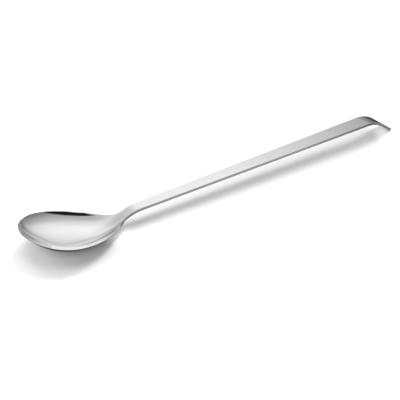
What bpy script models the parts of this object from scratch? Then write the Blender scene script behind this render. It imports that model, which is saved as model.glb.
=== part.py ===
"""Serving spoon of polished steel: a pressed bowl with a short shank, and a flat tapered handle bar whose far end is
bent down as a hook. The two pieces meet end to end in a flush butt joint across the neck.

Metres, +Z up. +X runs from the bowl towards the hook and Y is across the spoon. The pieces are drawn with the handle
level, and then laid as on a table, on the underside of the bowl and on the lower edge of the hook's end, both at
z = 0, with the origin below the middle of the length. The dimensions below are in millimetres."""

import math

import bmesh
import bpy
import numpy as np

MM = 0.001

# The sheet
THICKNESS = 2.5
JOINT_GAP = 0.3

# Plan of the bowl: an egg outline from the tip to the heel, and the shank that runs out inside it
TIP_X = -195.8
HEEL_X = -99.3
EGG_HALF_WIDTH = 28.98
EGG_SHAPE = (1.0, 0.578, -0.086, 0.137, -0.204)
SHANK_SHARPNESS = 3.0
SHANK_RUNOUT_START = 65.0
SHANK_RUNOUT_LENGTH = 45.0

# Side view of the rim: a long shallow curve that sweeps up into the level handle
RIM_REF_X = -111.7
RIM_REF_Z = 11.75
RIM_RISE = 0.2426
RIM_CURVE = -0.00048
SWEEP_START_X = -123.4
SWEEP_END_X = -86.9

# Dish of the bowl below its rim. Its cross section is fuller than a parabola, more so towards the tip.
DISH_END_X = -101.6
DISH_DEPTH = 10.84
DISH_SHAPE = (1.0, -0.864, 1.1325, -0.341)
SECTION_FULLNESS = 0.355
SECTION_TIP_GAIN = 0.32
SECTION_RUNOUT = 8

# Handle
SEAM_X = -96.0
NECK_X = -98.5
NECK_HALF_WIDTH = 4.97
HANDLE_TOP_Z = 17.22
BEND_X = 165.3
HOOK_HALF_WIDTH = 8.1
BEND_RADIUS = 35.6
BEND_ANGLE = math.radians(36.7)
HOOK_CORNER_RADIUS = 2.0

# Facets
BOWL_ROWS = 44
BOWL_COLUMNS = 22
NECK_ROWS = 7
BEND_ROWS = 14
CORNER_ROWS = 5
REST_STEPS = 800


def ease(s):
    """0 to 1 with level ends and no bend at either of them."""
    s = min(max(s, 0.0), 1.0)
    return s**3 * (10 - 15 * s + 6 * s * s)


def handle_half_width(x):
    s = (x - NECK_X) / (BEND_X - NECK_X)
    return NECK_HALF_WIDTH + (HOOK_HALF_WIDTH - NECK_HALF_WIDTH) * min(max(s, 0.0), 1.0)


def egg_position(x):
    """1 at the tip of the egg outline and -1 at its heel."""
    middle = 0.5 * (HEEL_X + TIP_X)
    return min(max((middle - x) / (HEEL_X - middle), -1.0), 1.0)


def half_width(x):
    c = egg_position(x)
    fullness = sum(k * c**i for i, k in enumerate(EGG_SHAPE))
    egg = EGG_HALF_WIDTH * math.sqrt(max(1 - c * c, 0.0)) * fullness
    shank = handle_half_width(x) * ease((x - NECK_X + SHANK_RUNOUT_START) / SHANK_RUNOUT_LENGTH)
    return (egg**SHANK_SHARPNESS + shank**SHANK_SHARPNESS) ** (1 / SHANK_SHARPNESS)


def edge_height(x):
    """Height of the rim, of the shank's edges and of the handle's top."""
    d = RIM_REF_X - x
    rim = RIM_REF_Z + RIM_RISE * d + RIM_CURVE * d * d
    return rim + (HANDLE_TOP_Z - rim) * ease((x - SWEEP_START_X) / (SWEEP_END_X - SWEEP_START_X))


def dish(x):
    """Depth of the bowl's centre line below its edges. It runs out gently into the shank."""
    middle = 0.5 * (DISH_END_X + TIP_X)
    c = min(max((middle - x) / (DISH_END_X - middle), -1.0), 1.0)
    return DISH_DEPTH * (1 - c) * (1 + c) ** 2 * sum(j * c**i for i, j in enumerate(DISH_SHAPE))


def sheet_height(x, y):
    """Upper surface of the bowl and its shank."""
    t = (y / half_width(x)) ** 2
    c = egg_position(x)
    k = (SECTION_FULLNESS + SECTION_TIP_GAIN * c) * (1 - c**SECTION_RUNOUT)
    return edge_height(x) - dish(x) * (1 - (1 - k) * t - k * t * t)


def sheet_point(x, across):
    """Point of the upper surface and its unit normal, `across` running from -1 to 1 between the edges."""
    x_n = max(x, TIP_X + 0.002)
    d = 0.001
    y_n = across * half_width(x_n)
    slope_x = (sheet_height(x_n + d, y_n) - sheet_height(x_n - d, y_n)) / (2 * d)
    slope_y = (sheet_height(x_n, y_n + d) - sheet_height(x_n, y_n - d)) / (2 * d)
    normal = np.array([-slope_x, -slope_y, 1.0])
    y = across * half_width(x) if x > TIP_X else 0.0
    z = sheet_height(x, y) if x > TIP_X else edge_height(x)
    return np.array([x, y, z]), normal / np.linalg.norm(normal)


def bowl_rows():
    """Rows of (point, normal) across the sheet, from the tip, which is one point, to the joint."""
    end = SEAM_X - 0.5 * JOINT_GAP
    yield [sheet_point(TIP_X, 0.0)]
    for i in range(1, BOWL_ROWS + 1):
        x = TIP_X + (end - TIP_X) * (1 - math.cos(0.5 * math.pi * i / BOWL_ROWS))
        yield [
            sheet_point(x, math.sin(0.5 * math.pi * (2 * j / BOWL_COLUMNS - 1)))
            for j in range(BOWL_COLUMNS + 1)
        ]


def hook_tab():
    """Top of the tab where the bend ends, as (x, z), and the tab's length. Its lower corner is the datum, z = 0."""
    x = BEND_X + BEND_RADIUS * math.sin(BEND_ANGLE)
    z = HANDLE_TOP_Z - BEND_RADIUS * (1 - math.cos(BEND_ANGLE))
    return x, z, (z - THICKNESS * math.cos(BEND_ANGLE)) / math.sin(BEND_ANGLE)


def rest_pose():
    """Pitch of the handle on the table, and the shift (x, z) that brings the origin below the middle of the length.
    The spoon touches the table with the underside of the bowl and with the lower corner of the hook's end."""
    x, z, length = hook_tab()
    end_x, end_z = x + length * math.cos(BEND_ANGLE), z - length * math.sin(BEND_ANGLE)
    corner_x = end_x - THICKNESS * math.sin(BEND_ANGLE)
    pitch = math.inf
    for i in range(REST_STEPS + 1):
        p, n = sheet_point(TIP_X + (SEAM_X - TIP_X) * i / REST_STEPS, 0.0)
        low = p - THICKNESS * n
        pitch = min(pitch, math.atan2(low[2], corner_x - low[0]))
    p, n = sheet_point(TIP_X, 0.0)
    tip = p - THICKNESS * n
    cos, sin = math.cos(pitch), math.sin(pitch)
    middle = 0.5 * (tip[0] * cos - tip[2] * sin + end_x * cos - end_z * sin)
    return pitch, -middle, -corner_x * sin


def handle_rows():
    """Rows of two (point, normal) pairs, one at each edge of the bar's top, from the joint to the hook's end."""

    def row(x, z, slope, half):
        normal = np.array([-math.sin(slope), 0.0, math.cos(slope)])
        return [(np.array([x, -half, z]), normal), (np.array([x, half, z]), normal)]

    start = SEAM_X + 0.5 * JOINT_GAP
    for i in range(NECK_ROWS + 1):
        x = start + (SWEEP_END_X - start) * i / NECK_ROWS
        slope = math.atan((edge_height(x + 0.001) - edge_height(x - 0.001)) / 0.002)
        yield row(x, edge_height(x), slope, handle_half_width(x))
    for i in range(BEND_ROWS + 1):
        a = BEND_ANGLE * i / BEND_ROWS
        x = BEND_X + BEND_RADIUS * math.sin(a)
        z = HANDLE_TOP_Z - BEND_RADIUS * (1 - math.cos(a))
        yield row(x, z, -a, HOOK_HALF_WIDTH)
    x, z, length = hook_tab()
    for i in range(CORNER_ROWS + 1):
        a = 0.5 * math.pi * i / CORNER_ROWS
        s = length - HOOK_CORNER_RADIUS * (1 - math.sin(a))
        half = HOOK_HALF_WIDTH - HOOK_CORNER_RADIUS * (1 - math.cos(a))
        yield row(x + s * math.cos(BEND_ANGLE), z - s * math.sin(BEND_ANGLE), -BEND_ANGLE, half)


def sheet_solid(name, rows, material, parent):
    """Closed solid of the sheet's thickness below the given upper surface."""
    mesh = bpy.data.meshes.new(name)
    bm = bmesh.new()
    top, low = [], []
    for row in rows:
        top.append([bm.verts.new(p * MM) for p, n in row])
        low.append([bm.verts.new((p - THICKNESS * n) * MM) for p, n in row])
    for i in range(len(top) - 1):
        a, b, c, d = top[i], top[i + 1], low[i], low[i + 1]
        for j in range(len(b) - 1):
            if len(a) == 1:
                bm.faces.new((a[0], b[j], b[j + 1]))
                bm.faces.new((c[0], d[j + 1], d[j]))
            else:
                bm.faces.new((a[j], b[j], b[j + 1], a[j + 1]))
                bm.faces.new((c[j], c[j + 1], d[j + 1], d[j]))
        bm.faces.new((a[0], c[0], d[0], b[0]))
        bm.faces.new((a[-1], b[-1], d[-1], c[-1]))
    for j in range(len(top[0]) - 1):
        bm.faces.new((top[0][j], top[0][j + 1], low[0][j + 1], low[0][j]))
    for j in range(len(top[-1]) - 1):
        bm.faces.new((top[-1][j], low[-1][j], low[-1][j + 1], top[-1][j + 1]))
    bm.normal_update()
    bm.to_mesh(mesh)
    bm.free()
    mesh.shade_smooth()
    mesh.set_sharp_from_angle(angle=math.radians(35))
    mesh.materials.append(material)
    piece = bpy.data.objects.new(name, mesh)
    bpy.context.scene.collection.objects.link(piece)
    piece.parent = parent
    return piece


def steel(name, colour, roughness):
    material = bpy.data.materials.new(name)
    material.use_nodes = True
    shader = material.node_tree.nodes["Principled BSDF"]
    shader.inputs["Base Color"].default_value = (*colour, 1.0)
    shader.inputs["Metallic"].default_value = 1.0
    shader.inputs["Roughness"].default_value = roughness
    return material


def main():
    for obj in list(bpy.data.objects):
        bpy.data.objects.remove(obj, do_unlink=True)
    spoon = bpy.data.objects.new("serving_spoon", None)
    bpy.context.scene.collection.objects.link(spoon)
    sheet_solid("bowl", bowl_rows(), steel("bowl_steel", (0.80, 0.80, 0.80), 0.06), spoon)
    sheet_solid("handle", handle_rows(), steel("handle_steel", (0.80, 0.80, 0.80), 0.08), spoon)
    pitch, shift_x, shift_z = rest_pose()
    spoon.rotation_euler.y = -pitch
    spoon.location = (shift_x * MM, 0.0, shift_z * MM)


main()
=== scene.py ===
import math

import bmesh
import bpy
import numpy as np
from mathutils import Matrix, Vector


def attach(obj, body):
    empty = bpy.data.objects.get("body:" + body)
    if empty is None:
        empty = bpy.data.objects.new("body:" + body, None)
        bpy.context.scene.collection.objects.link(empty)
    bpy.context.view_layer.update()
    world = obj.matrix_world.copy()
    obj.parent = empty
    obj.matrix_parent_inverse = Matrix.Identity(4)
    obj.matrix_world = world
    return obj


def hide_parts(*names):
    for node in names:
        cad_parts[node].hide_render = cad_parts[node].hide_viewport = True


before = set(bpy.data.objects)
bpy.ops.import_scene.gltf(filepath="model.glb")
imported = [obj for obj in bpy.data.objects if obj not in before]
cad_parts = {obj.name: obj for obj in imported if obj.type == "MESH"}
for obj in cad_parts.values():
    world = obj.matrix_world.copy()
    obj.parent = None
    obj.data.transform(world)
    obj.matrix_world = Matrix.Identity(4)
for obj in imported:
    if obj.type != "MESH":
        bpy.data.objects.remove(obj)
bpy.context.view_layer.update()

# ---------------------------------------------------------------------------------------------------------------------
# Shape of the spoon, in millimetres: the rules that the solids follow
# ---------------------------------------------------------------------------------------------------------------------
MM = 0.001
THICKNESS = 2.5
EDGE_RADIUS = 0.15
SEAM_CLEARANCE = 0.01

TIP_X, HEEL_X = -195.8, -99.3
EGG_HALF_WIDTH = 28.98
EGG_SHAPE = (1.0, 0.578, -0.086, 0.137, -0.204)
SHANK_SHARPNESS, SHANK_RUNOUT_START, SHANK_RUNOUT_LENGTH = 3.0, 65.0, 45.0

RIM_REF_X, RIM_REF_Z, RIM_RISE, RIM_CURVE = -111.7, 11.75, 0.2426, -0.00048
SWEEP_START_X, SWEEP_END_X = -123.4, -86.9

DISH_END_X, DISH_DEPTH = -101.6, 10.84
DISH_SHAPE = (1.0, -0.864, 1.1325, -0.341)
SECTION_FULLNESS, SECTION_TIP_GAIN, SECTION_RUNOUT = 0.355, 0.32, 8

SEAM_X, NECK_X, NECK_HALF_WIDTH = -96.0, -98.5, 4.97
HANDLE_TOP_Z, BEND_X, HOOK_HALF_WIDTH = 17.22, 165.3, 8.1
BEND_RADIUS, BEND_ANGLE = 35.6, math.radians(36.7)
HOOK_CORNER_RADIUS = 2.0
CROWN = 0.004

ARC = 5  # segments of a rounded sheet edge


def ease(s):
    s = np.clip(s, 0.0, 1.0)
    return s**3 * (10 - 15 * s + 6 * s * s)


def poly(c, shape):
    return sum(k * c**i for i, k in enumerate(shape))


def handle_half_width(x):
    s = np.clip((x - NECK_X) / (BEND_X - NECK_X), 0.0, 1.0)
    return NECK_HALF_WIDTH + (HOOK_HALF_WIDTH - NECK_HALF_WIDTH) * s


def egg_position(x):
    middle = 0.5 * (HEEL_X + TIP_X)
    return np.clip((middle - x) / (HEEL_X - middle), -1.0, 1.0)


def half_width(x):
    c = egg_position(x)
    egg = EGG_HALF_WIDTH * np.sqrt(np.maximum(1 - c * c, 0.0)) * poly(c, EGG_SHAPE)
    shank = handle_half_width(x) * ease((x - NECK_X + SHANK_RUNOUT_START) / SHANK_RUNOUT_LENGTH)
    return (egg**SHANK_SHARPNESS + shank**SHANK_SHARPNESS) ** (1 / SHANK_SHARPNESS)


def edge_height(x):
    d = RIM_REF_X - x
    rim = RIM_REF_Z + RIM_RISE * d + RIM_CURVE * d * d
    return rim + (HANDLE_TOP_Z - rim) * ease((x - SWEEP_START_X) / (SWEEP_END_X - SWEEP_START_X))


def dish(x):
    middle = 0.5 * (DISH_END_X + TIP_X)
    c = np.clip((middle - x) / (DISH_END_X - middle), -1.0, 1.0)
    return DISH_DEPTH * (1 - c) * (1 + c) ** 2 * poly(c, DISH_SHAPE)


def sheet_height(x, y):
    t = (y / half_width(x)) ** 2
    c = egg_position(x)
    k = (SECTION_FULLNESS + SECTION_TIP_GAIN * c) * (1 - c**SECTION_RUNOUT)
    return edge_height(x) - dish(x) * (1 - (1 - k) * t - k * t * t)


def sheet_normal(x, y):
    d = 0.001
    sx = (sheet_height(x + d, y) - sheet_height(x - d, y)) / (2 * d)
    sy = (sheet_height(x, y + d) - sheet_height(x, y - d)) / (2 * d)
    n = np.stack([-sx, -sy, np.ones_like(sx)], -1)
    return n / np.linalg.norm(n, axis=-1, keepdims=True)


def hook_tab():
    """Top of the tab where the bend ends, as (x, z), and the tab's length."""
    x = BEND_X + BEND_RADIUS * math.sin(BEND_ANGLE)
    z = HANDLE_TOP_Z - BEND_RADIUS * (1 - math.cos(BEND_ANGLE))
    return x, z, (z - THICKNESS * math.cos(BEND_ANGLE)) / math.sin(BEND_ANGLE)


def rest_pose():
    """The spoon is drawn with its handle level. It lies on the underside of the bowl and on the hook's lower corner."""
    x, z, length = hook_tab()
    end_x, end_z = x + length * math.cos(BEND_ANGLE), z - length * math.sin(BEND_ANGLE)
    corner_x = end_x - THICKNESS * math.sin(BEND_ANGLE)
    xs = np.linspace(TIP_X + 0.002, SEAM_X, 801)
    low = np.stack([xs, 0 * xs, sheet_height(xs, 0 * xs)], -1) - THICKNESS * sheet_normal(xs, 0 * xs)
    pitch = float(np.arctan2(low[:, 2], corner_x - low[:, 0]).min())
    cos, sin = math.cos(pitch), math.sin(pitch)
    middle = 0.5 * (low[0, 0] * cos - low[0, 2] * sin + end_x * cos - end_z * sin)
    return Matrix.Translation((-middle * MM, 0.0, -corner_x * sin * MM)) @ Matrix.Rotation(-pitch, 4, "Y")


REST = rest_pose()


def rim_frame(x, side):
    """Point of the rim, outward direction within the sheet and the sheet's normal."""
    d = 0.001
    y = side * half_width(x)
    q = (half_width(x + d) ** 2 - half_width(x - d) ** 2) / (2 * d)
    out = np.stack([-q, 2 * y], -1)
    out /= np.linalg.norm(out, axis=-1, keepdims=True)
    along = np.stack([-out[..., 1], out[..., 0]], -1)
    rise = (edge_height(x + d) - edge_height(x - d)) / (2 * d)
    tangent = np.stack([along[..., 0], along[..., 1], rise * along[..., 0]], -1)
    normal = sheet_normal(x, y)
    o = np.cross(tangent, normal)
    o /= np.linalg.norm(o, axis=-1, keepdims=True)
    o *= np.sign((o[..., :2] * out).sum(-1))[..., None]
    return np.stack([x, y, edge_height(x)], -1), o, normal


def edge_profile(radius, thickness):
    """Rounded sheet edge from its top to its underside: (outward, upward) places and normals."""
    places, normals = [], []
    for k in range(ARC + 1):
        a = 0.5 * math.pi * k / ARC
        places.append((-radius + radius * math.sin(a), -radius + radius * math.cos(a)))
        normals.append((math.sin(a), math.cos(a)))
    for k in range(ARC + 1):
        a = 0.5 * math.pi * k / ARC
        places.append((-radius + radius * math.cos(a), -thickness + radius - radius * math.sin(a)))
        normals.append((math.cos(a), -math.sin(a)))
    return np.array(places), np.array(normals)


def ring(top, top_n, right, left, radius=EDGE_RADIUS, thickness=THICKNESS):
    """One closed section of the sheet: its top from -Y to +Y, the right edge, the underside and the left edge.
    `right` and `left` are (point, outward, normal) of the sharp top edge."""
    places, normals = edge_profile(radius, thickness)

    def edge(frame_):
        p, o, n = frame_
        return (
            p + places[:, :1] * o + places[:, 1:] * n,
            normals[:, :1] * o + normals[:, 1:] * n,
        )

    rp, rn = edge(right)
    lp, ln = edge(left)
    low = (top - thickness * top_n)[::-1]
    points = np.concatenate([top, rp, low, lp[::-1]])
    norms = np.concatenate([top_n, rn, -top_n[::-1], ln[::-1]])
    return points, norms


def loft(name, rings, first_is_line, material, cap_first, cap_last, columns):
    """Closed mesh through the rings. With first_is_line the first ring is the same line there and back."""
    m = len(rings[0][0])
    points, normals, index = [], [], []
    for i, (p, n) in enumerate(rings):
        row = []
        if i == 0 and first_is_line:
            # The top columns, the underside columns and the two edges fall together at the tip.
            e = 2 * (ARC + 1)
            edge_rows = list(range(len(points), len(points) + e))
            points += list(p[columns : columns + e])
            normals += list(n[columns : columns + e])
            row = [edge_rows[0]] * columns + edge_rows + [edge_rows[-1]] * columns + edge_rows[::-1]
        else:
            row = list(range(len(points), len(points) + m))
            points += list(p)
            normals += list(n)
        index.append(row)
    faces, loop_normals = [], []

    def face(corners, flat=None):
        kept = [c for k, c in enumerate(corners) if c != corners[k - 1]]
        if len(set(kept)) < 3:
            return
        faces.append(kept)
        loop_normals.extend([flat if flat is not None else normals[c] for c in kept])

    for a, b in zip(index, index[1:]):
        for k in range(m):
            face((a[k], b[k], b[(k + 1) % m], a[(k + 1) % m]))
    e = 2 * (ARC + 1)
    for row, outward, flip in ((index[0], cap_first, True), (index[-1], cap_last, False)):
        if outward is None:
            continue
        outward = np.asarray(outward, float)
        low = row[columns + e : 2 * columns + e][::-1]
        caps = [(row[j], low[j], low[j + 1], row[j + 1]) for j in range(columns - 1)]
        caps.append(tuple([row[columns - 1]] + [low[columns - 1]] + row[columns : columns + e][::-1]))
        left = row[2 * columns + e :]
        caps.append(tuple([low[0], row[0]] + left[::-1]))
        for c in caps:
            face(c[::-1] if flip else c, outward)
    mesh = bpy.data.meshes.new(name)
    mesh.from_pydata([tuple(REST @ Vector(p * MM)) for p in points], [], faces)
    mesh.validate()
    mesh.polygons.foreach_set("use_smooth", [True] * len(mesh.polygons))
    turn = REST.to_3x3()
    mesh.normals_split_custom_set([tuple((turn @ Vector(n)).normalized()) for n in loop_normals])
    # The ground edges of the sheet, for the material
    cut = np.zeros(len(points), np.float32)
    for row in index:
        cut[row[columns : columns + e]] = 1.0
        cut[row[2 * columns + e :]] = 1.0
    mesh.attributes.new("cut_edge", "FLOAT", "POINT").data.foreach_set("value", cut)
    mesh.materials.append(material)
    piece = bpy.data.objects.new(name, mesh)
    bpy.context.scene.collection.objects.link(piece)
    return piece


def make_bowl(material, rows=190, columns=64):
    end = SEAM_X - SEAM_CLEARANCE
    rings = []
    for i in range(rows + 1):
        x = TIP_X + max((end - TIP_X) * (1 - math.cos(0.5 * math.pi * i / rows)), 0.002)
        h = float(half_width(np.float64(x)))
        right = rim_frame(np.float64(x), 1.0)
        left = rim_frame(np.float64(x), -1.0)
        if i == 0:
            tip = np.array([TIP_X, 0.0, float(edge_height(TIP_X))])
            o = right[1] * np.array([1.0, 0.0, 1.0])
            n = right[2] * np.array([1.0, 0.0, 1.0])
            right = left = (tip, o / np.linalg.norm(o), n / np.linalg.norm(n))
            top = np.repeat((tip - EDGE_RADIUS * right[1])[None], columns, 0)
            top_n = np.repeat(right[2][None], columns, 0)
        else:
            # The top stops where its edges begin to round over.
            across = np.sin(0.5 * math.pi * np.linspace(-1, 1, columns + 2)[1:-1])
            inner = max(h - EDGE_RADIUS * abs(right[1][1]), 0.0)
            y = across * inner
            xs = np.full(columns, x)
            top = np.stack([xs, y, sheet_height(xs, y)], -1)
            top_n = sheet_normal(xs, y)
        rings.append(ring(top, top_n, right, left))
    return loft("bowl_shell", rings, True, material, None, (1, 0, 0), columns)


def make_handle(material, columns=14):
    def section(x, z, slope, half, inset=0.0):
        n = np.array([-math.sin(slope), 0.0, math.cos(slope)])
        p = np.array([x, 0.0, z]) - inset * n
        w = half - inset
        r = max(EDGE_RADIUS - inset, 0.02)
        y = np.linspace(-1, 1, columns + 2)[1:-1] * (w - r)
        # Both faces are polished very slightly convex.
        across = np.array([0.0, 1.0, 0.0])
        top = p + y[:, None] * across - (0.5 * CROWN * y * y / w)[:, None] * n
        top_n = n + (CROWN * y / w)[:, None] * across
        top_n /= np.linalg.norm(top_n, axis=1, keepdims=True)
        right = (p + np.array([0.0, w, 0.0]), np.array([0.0, 1.0, 0.0]), n)
        left = (p + np.array([0.0, -w, 0.0]), np.array([0.0, -1.0, 0.0]), n)
        return ring(top, top_n, right, left, r, THICKNESS - 2 * inset)

    rings = []
    start = SEAM_X + SEAM_CLEARANCE
    for x in np.linspace(start, SWEEP_END_X, 40):
        slope = math.atan(float(edge_height(x + 0.001) - edge_height(x - 0.001)) / 0.002)
        rings.append(section(x, float(edge_height(x)), slope, float(handle_half_width(x))))
    for x in np.linspace(SWEEP_END_X, BEND_X, 42)[1:-1]:
        rings.append(section(x, HANDLE_TOP_Z, 0.0, float(handle_half_width(x))))
    for a in np.linspace(0.0, BEND_ANGLE, 48):
        x = BEND_X + BEND_RADIUS * math.sin(a)
        z = HANDLE_TOP_Z - BEND_RADIUS * (1 - math.cos(a))
        rings.append(section(x, z, -a, HOOK_HALF_WIDTH))
    cos, sin = math.cos(BEND_ANGLE), math.sin(BEND_ANGLE)
    x, z, length = hook_tab()
    for s in np.linspace(0.0, length - HOOK_CORNER_RADIUS, 8)[1:-1]:
        rings.append(section(x + s * cos, z - s * sin, -BEND_ANGLE, HOOK_HALF_WIDTH))
    for a in np.linspace(0.0, 0.5 * math.pi, 14):
        s = length - HOOK_CORNER_RADIUS * (1 - math.sin(a))
        half = HOOK_HALF_WIDTH - HOOK_CORNER_RADIUS * (1 - math.cos(a))
        # The end's own edge rounds over within the last bit of the tab.
        over = max(s - (length - EDGE_RADIUS), 0.0) / EDGE_RADIUS
        inset = EDGE_RADIUS * (1 - math.sqrt(max(1 - over * over, 0.0)))
        rings.append(section(x + s * cos, z - s * sin, -BEND_ANGLE, half, min(inset, EDGE_RADIUS - 0.03)))
    return loft("handle_bar", rings, False, material, (-1, 0, 0), (cos, 0, -sin), columns)


# ---------------------------------------------------------------------------------------------------------------------
# Materials
# ---------------------------------------------------------------------------------------------------------------------
STEEL = 0.80


def steel(name, grain, roughness):
    """Polished steel. `grain` is how many polishing marks there are per metre along X and across it. The marks give a
    faint bump, a few hairlines and handling smudges vary the gloss, and the ground sheet edges are more satin."""
    material = bpy.data.materials.new(name)
    material.use_nodes = True
    tree = material.node_tree
    shader = tree.nodes["Principled BSDF"]
    shader.inputs["Metallic"].default_value = 1.0
    shader.inputs["Specular Tint"].default_value = (0.9, 0.9, 0.9, 1.0)
    place = tree.nodes.new("ShaderNodeTexCoord").outputs["Object"]

    def noise(scale, detail, seed):
        mapping = tree.nodes.new("ShaderNodeMapping")
        mapping.inputs["Scale"].default_value = scale
        mapping.inputs["Location"].default_value = (seed, 2.7 * seed, -1.3 * seed)
        texture = tree.nodes.new("ShaderNodeTexNoise")
        texture.inputs["Scale"].default_value = 1.0
        texture.inputs["Detail"].default_value = detail
        tree.links.new(place, mapping.inputs["Vector"])
        tree.links.new(mapping.outputs["Vector"], texture.inputs["Vector"])
        return texture.outputs["Fac"]

    def spread(value, low, high, to_low, to_high):
        node = tree.nodes.new("ShaderNodeMapRange")
        node.inputs["From Min"].default_value, node.inputs["From Max"].default_value = low, high
        node.inputs["To Min"].default_value, node.inputs["To Max"].default_value = to_low, to_high
        tree.links.new(value, node.inputs["Value"])
        return node.outputs["Result"]

    def total(*values):
        result = values[0]
        for value in values[1:]:
            node = tree.nodes.new("ShaderNodeMath")
            node.operation = "ADD"
            tree.links.new(result, node.inputs[0])
            tree.links.new(value, node.inputs[1])
            result = node.outputs[0]
        return result

    marks = noise((grain[0], grain[1], grain[1]), 3.0, 1.0)
    hairlines = noise((0.4 * grain[0], 1.7 * grain[1], 1.7 * grain[1]), 1.0, 5.0)
    smudges = noise((38.0, 55.0, 55.0), 4.0, 9.0)
    edges = tree.nodes.new("ShaderNodeAttribute")
    edges.attribute_name = "cut_edge"

    tint = tree.nodes.new("ShaderNodeValToRGB")
    for element, at, level in zip(tint.color_ramp.elements, (0.3, 0.7), (STEEL - 0.012, STEEL + 0.012)):
        element.position = at
        element.color = (level, level, level, 1.0)
    tree.links.new(smudges, tint.inputs["Fac"])
    tree.links.new(tint.outputs["Color"], shader.inputs["Base Color"])

    gloss = total(
        spread(smudges, 0.3, 0.7, roughness - 0.006, roughness + 0.010),
        spread(marks, 0.3, 0.7, 0.0, 0.012),
        spread(hairlines, 0.70, 0.78, 0.0, 0.06),
        spread(edges.outputs["Fac"], 0.0, 1.0, 0.0, 0.03),
    )
    tree.links.new(gloss, shader.inputs["Roughness"])
    bump = tree.nodes.new("ShaderNodeBump")
    bump.inputs["Strength"].default_value = 0.25
    bump.inputs["Distance"].default_value = 0.0000012
    tree.links.new(total(marks, spread(hairlines, 0.70, 0.80, 0.0, -0.8)), bump.inputs["Height"])
    tree.links.new(bump.outputs["Normal"], shader.inputs["Normal"])
    return material


bowl = make_bowl(steel("polished_steel_bowl", (700.0, 1500.0), 0.028))
handle = make_handle(steel("polished_steel_handle", (45.0, 2400.0), 0.034))
for piece, node, slot in ((bowl, "bowl", "bowl_steel"), (handle, "handle", "handle_steel")):
    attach(piece, "root")
    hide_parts(node)

# ---------------------------------------------------------------------------------------------------------------------
# Camera
# ---------------------------------------------------------------------------------------------------------------------
AZIMUTH, ELEVATION = math.radians(-37.415), math.radians(30.333)
DISTANCE, TARGET = 1.295, Vector((-0.022786, 0.0, -0.000416))
back = Vector((math.sin(AZIMUTH) * math.cos(ELEVATION), -math.cos(AZIMUTH) * math.cos(ELEVATION), math.sin(ELEVATION)))
camera = bpy.data.objects.new("camera", bpy.data.cameras.new("camera"))
bpy.context.scene.collection.objects.link(camera)
camera.data.sensor_width = 36.0
camera.data.lens = 135.0
pose = Matrix.Translation(TARGET + back * DISTANCE) @ (-back).to_track_quat("-Z", "Y").to_matrix().to_4x4()
camera.matrix_world = REST @ pose
camera.data.clip_start, camera.data.clip_end = 0.05, 50.0
bpy.context.scene.camera = camera

# ---------------------------------------------------------------------------------------------------------------------
# Studio: a white floor, soft lights, and the pale surroundings that the polished steel mirrors
# ---------------------------------------------------------------------------------------------------------------------
scene = bpy.context.scene
scene.view_settings.view_transform = "Standard"
scene.view_settings.look = "None"


def heading(azimuth, elevation):
    """Direction from degrees, the azimuth from +X towards +Y."""
    a, e = math.radians(azimuth), math.radians(elevation)
    return (math.cos(e) * math.cos(a), math.cos(e) * math.sin(a), math.sin(e))


# The pale tent over the table grows brighter upwards. Soft panels add to it and gaps take away:
# azimuth and elevation in degrees, narrowness and level.
TENT_LEVEL = 0.862
PANELS = (
    (51.8, 50.9, 14.5, 0.573),
    (58.3, 27.5, 5.24, 1.149),
    (63.6, 44.5, 8.5, -1.0),
    (-69.0, 80.4, 49.0, -0.237),
)
# Towards the front it fades by the angle in degrees from a great circle with this pole.
FADE_POLE = heading(110.6, 23.0)
FADE = ((-14, 0.36), (-8, 0.528), (-4, 0.63), (-1, 0.697), (2, 0.728), (5, 0.787), (8, 0.837), (11, 0.95), (14, 1.0))

BOWL_CENTRE = (-0.165, 0.008, 0.014)


class Graph:
    """Short hand for wiring shader nodes."""

    def __init__(self, tree):
        self.tree = tree

    def node(self, kind, **settings):
        n = self.tree.nodes.new(kind)
        for k, v in settings.items():
            setattr(n, k, v)
        return n

    def set(self, socket, value):
        if isinstance(value, bpy.types.NodeSocket):
            self.tree.links.new(value, socket)
        else:
            socket.default_value = value

    def math(self, operation, a, b=0.0, c=0.0, clamp=False):
        n = self.node("ShaderNodeMath", operation=operation, use_clamp=clamp)
        for k, v in enumerate((a, b, c)):
            self.set(n.inputs[k], v)
        return n.outputs[0]

    def vmath(self, operation, a, b=(0.0, 0.0, 0.0)):
        n = self.node("ShaderNodeVectorMath", operation=operation)
        self.set(n.inputs[0], a)
        self.set(n.inputs[1], b)
        return n.outputs["Value"] if operation in ("DOT_PRODUCT", "LENGTH") else n.outputs["Vector"]

    def split(self, vector):
        n = self.node("ShaderNodeSeparateXYZ")
        self.set(n.inputs[0], vector)
        return n.outputs

    def smooth(self, value, a, b, low=0.0, high=1.0):
        n = self.node("ShaderNodeMapRange", interpolation_type="SMOOTHSTEP")
        self.set(n.inputs["Value"], value)
        for k, v in (("From Min", a), ("From Max", b), ("To Min", low), ("To Max", high)):
            self.set(n.inputs[k], v)
        return n.outputs["Result"]

    def ramp(self, value, points):
        """Straight lines through (value, level) points, level at both ends."""
        n = self.node("ShaderNodeValToRGB")
        low_, high_ = points[0][0], points[-1][0]
        band = n.color_ramp
        band.interpolation = "LINEAR"
        while len(band.elements) < len(points):
            band.elements.new(0.5)
        for element, (place, level) in zip(band.elements, points):
            element.position = (place - low_) / (high_ - low_)
            element.color = (level, level, level, 1.0)
        self.set(n.inputs[0], self.math("DIVIDE", self.math("SUBTRACT", value, low_), high_ - low_))
        return n.outputs[0]


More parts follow.
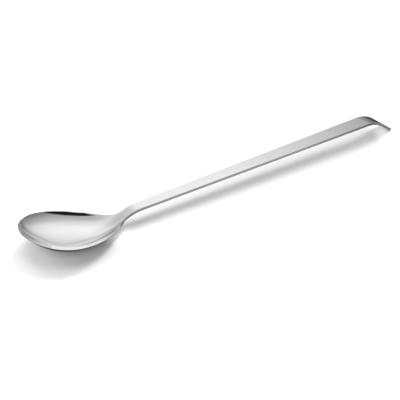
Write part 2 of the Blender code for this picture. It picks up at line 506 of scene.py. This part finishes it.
def tent_light(graph, direction):
    """Light that arrives at the bowl from a direction."""
    level = graph.math("MULTIPLY", graph.split(direction)["Z"], TENT_LEVEL)
    for azimuth, elevation, narrowness, strength in PANELS:
        off = graph.math("SUBTRACT", graph.vmath("DOT_PRODUCT", direction, heading(azimuth, elevation)), 1.0)
        lobe = graph.math("EXPONENT", graph.math("MULTIPLY", off, narrowness))
        level = graph.math("MULTIPLY_ADD", lobe, strength, level)
    angle = graph.math("DEGREES", graph.math("ARCSINE", graph.vmath("DOT_PRODUCT", direction, FADE_POLE)))
    return graph.math("MAXIMUM", graph.math("MULTIPLY", level, graph.ramp(angle, FADE)), 0.0)


def only_mirrored(obj):
    """Seen in reflections only."""
    obj.visible_camera = obj.visible_diffuse = obj.visible_shadow = False
    obj.visible_transmission = obj.visible_volume_scatter = False


def plane(name, corners, material):
    mesh = bpy.data.meshes.new(name)
    mesh.from_pydata(corners, [], [tuple(range(len(corners)))])
    mesh.materials.append(material)
    obj = bpy.data.objects.new(name, mesh)
    scene.collection.objects.link(obj)
    return obj


def bare_material(name):
    material = bpy.data.materials.new(name)
    material.use_nodes = True
    material.node_tree.nodes.clear()
    material.cycles.emission_sampling = "NONE"
    graph = Graph(material.node_tree)
    return material, graph, graph.node("ShaderNodeOutputMaterial")


def glowing(name, level, cover=None):
    """Card material: level(graph, position) glows where cover(graph, position) is 1 and is clear where it is 0."""
    material, graph, output = bare_material(name)
    position = graph.node("ShaderNodeNewGeometry").outputs["Position"]
    emission = graph.node("ShaderNodeEmission")
    graph.set(emission.inputs["Color"], level(graph, position))
    surface = emission.outputs[0]
    if cover is not None:
        blend = graph.node("ShaderNodeMixShader")
        graph.set(blend.inputs[0], cover(graph, position))
        graph.set(blend.inputs[1], graph.node("ShaderNodeBsdfTransparent").outputs[0])
        graph.set(blend.inputs[2], surface)
        surface = blend.outputs[0]
    graph.set(output.inputs["Surface"], surface)
    return material


# The tent, far away
mesh = bpy.data.meshes.new("studio_tent")
bm = bmesh.new()
bmesh.ops.create_icosphere(bm, subdivisions=4, radius=20.0)
bm.to_mesh(mesh)
bm.free()
mesh.materials.append(glowing("studio_tent", lambda graph, position: tent_light(graph, graph.vmath("NORMALIZE", position))))
dome = bpy.data.objects.new("studio_tent", mesh)
scene.collection.objects.link(dome)
only_mirrored(dome)

# Its wall beyond the hook, close by: the same light as the bowl sees there, with painted shade where it meets the table
WALL_FOOT_SHADE, WALL_FOOT_HEIGHT = 0.95, 0.012


def wall_level(graph, position):
    direction = graph.vmath("NORMALIZE", graph.vmath("SUBTRACT", position, BOWL_CENTRE))
    # Painted shade: the wall's glow darkens towards the table
    foot = graph.math("EXPONENT", graph.math("MULTIPLY", graph.split(position)["Z"], -1 / WALL_FOOT_HEIGHT))
    return graph.math("MULTIPLY", tent_light(graph, direction), graph.math("MULTIPLY_ADD", foot, -WALL_FOOT_SHADE, 1.0))


def wall_cover(graph, position):
    place = graph.split(position)
    return graph.math("MULTIPLY", graph.smooth(place["X"], 0.10, 0.20), graph.smooth(place["Z"], 0.30, 0.22))


def wall_y(x):
    return 0.417 - 0.70 * (x - 0.15)


wall = plane(
    "studio_wall",
    [(0.08, wall_y(0.08), 0.0), (1.0, wall_y(1.0), 0.0), (1.0, wall_y(1.0), 0.32), (0.08, wall_y(0.08), 0.32)],
    glowing("studio_wall", wall_level, wall_cover),
)
only_mirrored(wall)

# A bright front card below the camera and one beyond the hook, which light the rim's cut edge. Both have painted shade
# at the foot.
FRONT_Y, SIDE_X = -0.25, 0.30
CARD_LEVEL, CARD_FOOT_SHADE = 1.06, 0.30
SIDE_SHADE = ((-0.04, 0.25), (-0.015, 0.28), (0.015, 0.50), (0.05, 0.58))
SIDE_LEVEL =((-0.06, 0.99), (-0.011, 0.85), (0.022, 0.71), (0.055, 0.60), (0.082, 0.45), (0.14, 0.35))
SIDE_FOOT = (
    (-0.25, 0.22), (-0.105, 0.185), (-0.05, 0.15), (0.0, 0.132), (0.02, 0.122), (0.055, 0.092), (0.082, 0.068),
    (0.14, 0.03),
)


def front_level(graph, position):
    # Painted shade at the front card's foot
    return graph.smooth(graph.split(position)["Z"], 0.03, 0.08, CARD_FOOT_SHADE, CARD_LEVEL)


def side_level(graph, position):
    place = graph.split(position)
    above = graph.math("SUBTRACT", place["Z"], graph.ramp(place["Y"], SIDE_FOOT))
    # Painted shade below the foot line, graded along Y
    dim, bright = graph.ramp(place["Y"], SIDE_SHADE), graph.ramp(place["Y"], SIDE_LEVEL)
    return graph.smooth(above, -0.015, 0.015, dim, bright)


card = plane(
    "studio_card",
    [
        (x, FRONT_Y, z)
        for x, z in (
            (-0.60, 0.0), (SIDE_X, 0.0), (SIDE_X, 0.45), (0.22, 0.42), (0.10, 0.385), (-0.148, 0.385), (-0.155, 0.40),
            (-0.22, 0.50), (-0.34, 0.80), (-0.60, 1.30),
        )
    ],
    glowing("studio_card", front_level),
)
only_mirrored(card)
side_card = plane(
    "studio_side_card",
    [
        (SIDE_X, y, z)
        for y, z in (
            (-0.25, 0.0), (0.07, 0.0), (0.09, 0.06), (0.09, 0.11), (0.066, 0.13), (0.04, 0.16), (0.0, 0.19),
            (-0.073, 0.235), (-0.134, 0.29), (-0.19, 0.375), (-0.25, 0.45),
        )
    ],
    glowing("studio_side_card", side_level),
)
only_mirrored(side_card)

# A black flag above the front card: its top edge along X
FLAG_LEVEL = 0.0165
FLAG_TOP = ((-0.148, 0.565), (-0.10, 0.575), (0.0, 0.58), (0.06, 0.60), (0.11, 0.58), (0.20, 0.53))


def flag_cover(graph, position):
    place = graph.split(position)
    above = graph.math("SUBTRACT", place["Z"], graph.ramp(place["X"], FLAG_TOP))
    return graph.math("MULTIPLY", graph.smooth(above, 0.018, -0.018), graph.smooth(place["X"], 0.20, 0.15))


flag = plane(
    "studio_flag",
    [(-0.148, FRONT_Y, 0.386), (0.20, FRONT_Y, 0.386), (0.20, FRONT_Y, 0.65), (-0.148, FRONT_Y, 0.65)],
    glowing("studio_flag", lambda graph, position: (FLAG_LEVEL, FLAG_LEVEL, FLAG_LEVEL, 1.0), flag_cover),
)
only_mirrored(flag)

# Floor: white to the eye, and a grey copy of it that only the steel mirrors; the copy's grey is painted shade
FLOOR_HALF = 4.0
FLOOR_WHITE = 0.95
# Along X, as the steel mirrors it: painted shade, darker beside the bowl and beyond the hook, with a painted lighter
# strip near X = 0.2
FLOOR_MIRRORED_SHADING = (
    (-0.09, 0.215), (-0.06, 0.322), (0.10, 0.322), (0.15, 0.248), (0.178, 0.18), (0.189, 0.12), (0.192, 0.14),
    (0.196, 0.22), (0.199, 0.22), (0.205, 0.125), (0.215, 0.08), (0.25, 0.045),
)
square = [(-FLOOR_HALF, -FLOOR_HALF), (FLOOR_HALF, -FLOOR_HALF), (FLOOR_HALF, FLOOR_HALF), (-FLOOR_HALF, FLOOR_HALF)]


def floor_material(name, levels):
    material, graph, output = bare_material(name)
    matt = graph.node("ShaderNodeBsdfDiffuse")
    # A tuple of levels paints light and shade along X
    if isinstance(levels, tuple):
        along = graph.split(graph.node("ShaderNodeNewGeometry").outputs["Position"])["X"]
        graph.set(matt.inputs["Color"], graph.ramp(along, levels))
    else:
        matt.inputs["Color"].default_value = (levels, levels, levels, 1.0)
    blend = graph.node("ShaderNodeMixShader")
    graph.set(blend.inputs[0], graph.node("ShaderNodeNewGeometry").outputs["Backfacing"])
    graph.set(blend.inputs[1], matt.outputs[0])
    graph.set(blend.inputs[2], graph.node("ShaderNodeBsdfTransparent").outputs[0])
    graph.set(output.inputs["Surface"], blend.outputs[0])
    return material


floor = plane("floor", [(x, y, 0.0) for x, y in square], floor_material("floor_white", FLOOR_WHITE))
floor.visible_glossy = False
# The mirrored copy: its grey and its ramp along X are painted shade in the steel's reflections
mirrored_floor = plane(
    "floor_mirrored", [(x, y, 0.00004) for x, y in square], floor_material("floor_mirrored_painted_shade", FLOOR_MIRRORED_SHADING)
)
only_mirrored(mirrored_floor)

# Broad soft lights far away: azimuth, elevation and spread in degrees, and what each adds to the white of the floor
SOFT_LIGHTS = (
    (30, 38, 24, 0.146),
    (30, 50, 24, 0.212),
    (80, 50, 24, 0.120),
    (110, 30, 40, 0.058),
    (230, 25, 50, 0.223),
    (0, 90, 40, 0.218),
)
# Small fill lamps near the two ends: place, aim, size and power
FILL_LAMPS = (
    ((0.35, -0.15, 0.10), (0.18, -0.02, 0.0), 0.30, 0.285),
    ((-0.45, 0.10, 0.20), (-0.17, -0.03, 0.0), 0.30, 0.62),
)


def lamp(name, kind, aim):
    """Lamp that shines along `aim` and is not itself mirrored in the steel."""
    obj = bpy.data.objects.new(name, bpy.data.lights.new(name, kind))
    scene.collection.objects.link(obj)
    obj.rotation_mode = "QUATERNION"
    obj.rotation_quaternion = Vector(aim).to_track_quat("-Z", "Y")
    obj.visible_glossy = False
    return obj


for k, (azimuth, elevation, spread, level) in enumerate(SOFT_LIGHTS):
    towards = Vector(heading(azimuth, elevation))
    obj = lamp(f"soft_light_{k}", "SUN", -towards)
    obj.location = towards * 3.0
    obj.data.angle = math.radians(spread)
    obj.data.energy = level * math.pi / FLOOR_WHITE / towards.z
for k, (place, aim, size, power) in enumerate(FILL_LAMPS):
    obj = lamp(f"fill_lamp_{k}", "AREA", Vector(aim) - Vector(place))
    obj.location = place
    obj.data.shape = "DISK"
    obj.data.size = size
    obj.data.energy = power
# Small spots that open the shadows under the hook and beside the heel of the bowl: place, aim, angle and power
SPOTS = (
    ((-0.124, -0.310, 0.225), (0.1945, 0.003, 0.0), 2.6, 10.0),
    ((-0.3545, -0.362, 0.2576), (-0.1136, -0.0074, 0.0), 3.2, 6.0),
)
for k, (place, aim, angle, power) in enumerate(SPOTS):
    obj = lamp(f"spot_{k}", "SPOT", Vector(aim) - Vector(place))
    obj.location = place
    obj.data.energy = power
    obj.data.spot_size = math.radians(angle)
    obj.data.spot_blend = 1.0
    obj.data.shadow_soft_size = 0.004
world = bpy.data.worlds.new("studio")
world.use_nodes = True
world.node_tree.nodes["Background"].inputs["Color"].default_value = (0.9, 0.9, 0.9, 1.0)
scene.world = world
world.cycles_visibility.diffuse = False
